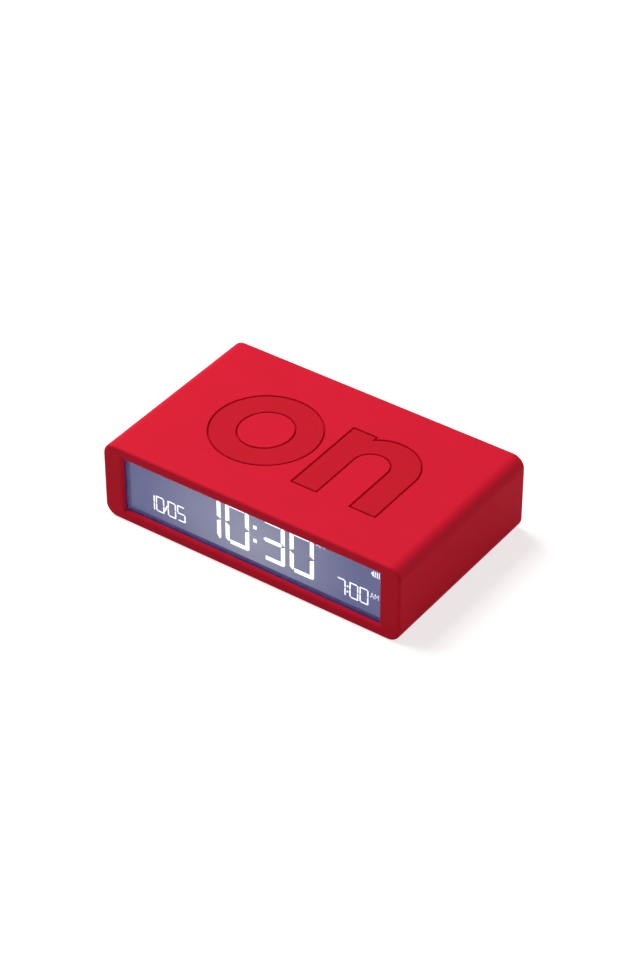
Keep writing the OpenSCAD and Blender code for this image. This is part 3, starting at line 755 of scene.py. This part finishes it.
def dry_cell(title, node, direction):
    """Round cell in a printed sleeve that folds over both ends, with a steel base and nub.

    Its profile runs from the base to the nub in (distance along X, radius) pairs.
    """
    sides, fold_steps, core_r = 64, 4, 0.2
    nub_h, nub_r, nub_edge, nub_slope = 0.8, 1.9, 0.3, 0.5
    fold, lip, sunk, silver_w = 0.4, 1.2, 0.25, 9
    low, high = box_mm(node)
    middle = (low + high) / 2
    start = low.x if direction > 0 else high.x
    length, r = high.x - low.x, (high.z - low.z) / 2
    body = length - nub_h
    steel, sleeve, silver, washer = range(4)
    stretches = [
        (steel, [(sunk, core_r)]),
        (sleeve, [(sunk, r - lip), (0, r - lip)] + arc(fold, r - fold, fold, fold, 180, 90, fold_steps)),
        (silver, [(body - silver_w, r)] + arc(body - fold, r - fold, fold, fold, 90, 0, fold_steps)),
        (silver, [(body, r - lip)]),
        (washer, [(body - sunk, r - lip)]),
        (steel, [(body - sunk, nub_r + nub_slope), (body, nub_r)]),
        (steel, arc(length - nub_edge, nub_r - nub_edge, nub_edge, nub_edge, 90, 0, fold_steps)),
        (steel, [(length, core_r)]),
    ]
    profile = [pair for kind, pairs in stretches for pair in pairs]
    rings = [kind for kind, pairs in stretches for pair in pairs]
    wall_kinds = [kind for kind in rings[:-1] for side in range(sides)]
    cap_kinds = [steel, steel]
    around = arc(0, 0, 1, 1, 0, 360, sides)[:-1]
    points = [
        (start + direction * distance, middle.y + radius * y, middle.z + radius * z)
        for distance, radius in profile
        for y, z in around
    ]
    faces = ring_stack(len(profile), sides)
    materials = [finishes["nickel_plate"], finishes["cell_can"], silver_finish, finishes["white_moulding"]]
    made = piece(title, points, faces, materials, wall_kinds + cap_kinds)
    return belongs(made, "root", "cell_can", node)


def wire(path, radius, sides):
    """Points and faces of a round wire along a path, closed at both ends."""
    spots = [Vector(p) for p in path]
    last = len(spots) - 1
    along = [(spots[min(i + 1, last)] - spots[max(i - 1, 0)]).normalized() for i in range(last + 1)]
    across = along[0].orthogonal().normalized()
    points = []
    for spot, way in zip(spots, along):
        across = (across - across.dot(way) * way).normalized()
        other = way.cross(across)
        points += [spot + u * across + v * other for u, v in arc(0, 0, radius, radius, 0, 360, sides)[:-1]]
    return points, ring_stack(len(spots), sides)


def contact_coil(title, node, cell, direction):
    """Cone of spring wire that stands on its contact plate and points along its cell's axis."""
    wire_d, turns, steps, sides = 0.5, 3, 84, 10
    base_r, tip_r = 3.4, 1.9
    low, high = box_mm(node)
    cell_low, cell_high = box_mm(cell)
    axis = (cell_low + cell_high) / 2
    foot, reach = (low.x if direction > 0 else high.x), high.x - low.x

    def at(rise, share):
        r = base_r + (tip_r - base_r) * share
        a = 2 * math.pi * turns * share
        return foot + direction * rise, axis.y + direction * r * math.cos(a), axis.z + r * math.sin(a)

    climb = [at(wire_d + (reach - 2 * wire_d) * i / steps, i / steps) for i in range(steps + 1)]
    path = [at(0, 0)] + climb + [at(reach, 1)]
    made = piece(title, *wire(path, wire_d / 2, sides), [finishes["nickel_plate"]], sharp_angle=60)
    return belongs(made, "root", "nickel_plate", node)


dry_cell("upper_dry_cell", "upper_cell", direction=-1)
dry_cell("lower_dry_cell", "lower_cell", direction=1)
contact_coil("lower_coil", "negative_spring", "lower_cell", direction=1)
contact_coil("upper_coil", "bridge_spring", "upper_cell", direction=-1)


# Stage, light and camera

# The floor gives floor_lift of white light where it is seen, and room_light comes from all round
floor_size = 1200
floor_drop = 0.05
paper_patch = 250
floor_lift = 0.72
room_light = 0.05
lamp_aim = (0, 0, 10)


def background_seen(tree):
    """1 where the background is seen, straight, in a reflection or through glass, and 0 for its light."""
    ray = add(tree, "ShaderNodeLightPath").outputs
    seen = ray["Is Camera Ray"]
    for name in ("Is Glossy Ray", "Is Transmission Ray"):
        more = add(tree, "ShaderNodeMath", links={0: seen, 1: ray[name]}, operation="MAXIMUM")
        seen = more.outputs["Value"]
    return seen


def floor_material():
    """White paper that keeps the shadow; where it is seen, it is lifted to the white of the background."""
    made = blank_material("matt white paper")
    tree = made.node_tree
    place = add(tree, "ShaderNodeTexCoord").outputs["Object"]
    drift = add(tree, "ShaderNodeTexNoise", {"Scale": 1 / (paper_patch * MM)}, {"Vector": place})
    lift = add(tree, "ShaderNodeMath", {1: floor_lift}, {0: background_seen(tree)}, operation="MULTIPLY")
    bsdf = add(
        tree,
        "ShaderNodeBsdfPrincipled",
        {"Roughness": 0.9, "Specular IOR Level": 0.1, "Emission Color": linear("#FFFFFF")},
        {
            "Base Color": two_tone(tree, drift.outputs["Fac"], ("#CACACA", "#CECECE")),
            "Emission Strength": lift.outputs["Value"],
        },
    )
    add(tree, "ShaderNodeOutputMaterial", links={"Surface": bsdf.outputs["BSDF"]})
    return made


def stage_floor():
    """Square of paper just under the clock."""
    half = floor_size / 2
    corners = [(x, y, -floor_drop) for x, y in ((-half, -half), (half, -half), (half, half), (-half, half))]
    made = piece("floor", corners, [(0, 1, 2, 3)], [floor_material()])


def soft_surroundings():
    """Even dim light from all round; the camera sees white beyond the floor."""
    world = bpy.data.worlds.new("white studio")
    world.use_nodes = True
    tree = world.node_tree
    tree.nodes.clear()
    white = linear("#FFFFFF")
    dim = add(tree, "ShaderNodeBackground", {"Color": white, "Strength": room_light})
    bright = add(tree, "ShaderNodeBackground", {"Color": white, "Strength": 1.0})
    mixed = add(
        tree,
        "ShaderNodeMixShader",
        links={"Fac": background_seen(tree), 1: dim.outputs["Background"], 2: bright.outputs["Background"]},
    )
    add(tree, "ShaderNodeOutputWorld", links={"Surface": mixed.outputs["Shader"]})
    bpy.context.scene.world = world


def look_along(made, direction):
    """Turns a lamp or camera so that it looks along a direction, with its top upwards."""
    made.rotation_euler = direction.to_track_quat("-Z", "Y").to_euler()


def soft_box(title, place, size, watts):
    """Square lamp that shines on the clock and that the camera doesn't see."""
    lamp = bpy.data.lights.new(title, "AREA")
    lamp.shape = "SQUARE"
    lamp.size = size * MM
    lamp.energy = watts
    made = bpy.data.objects.new(title, lamp)
    made.location = Vector(place) * MM
    made.visible_camera = False
    look_along(made, Vector(lamp_aim) - Vector(place))
    bpy.context.scene.collection.objects.link(made)


def photo_camera(azimuth, elevation, distance, target, lens, sensor):
    """Camera at an angle to the right of the front and up, in degrees, and at a distance from its target."""
    lens_data = bpy.data.cameras.new("camera")
    lens_data.lens = lens
    lens_data.sensor_width = sensor
    a, e = math.radians(azimuth), math.radians(elevation)
    back = Vector((math.sin(a) * math.cos(e), -math.cos(a) * math.cos(e), math.sin(e)))
    made = bpy.data.objects.new("camera", lens_data)
    made.location = (Vector(target) + back * distance) * MM
    look_along(made, -back)
    bpy.context.scene.collection.objects.link(made)
    bpy.context.scene.camera = made


stage_floor()
soft_surroundings()
soft_box("key soft box", place=(-700, 0, 1100), size=900, watts=17.8)
soft_box("corner fill", place=(600, -400, 200), size=250, watts=0.4)
soft_box("right fill", place=(500, 500, 150), size=250, watts=0.8)
photo_camera(azimuth=35.3, elevation=37.4, distance=918, target=(2.5, 0, 16.8), lens=112.3, sensor=36)
bpy.context.scene.view_settings.view_transform = "Standard"
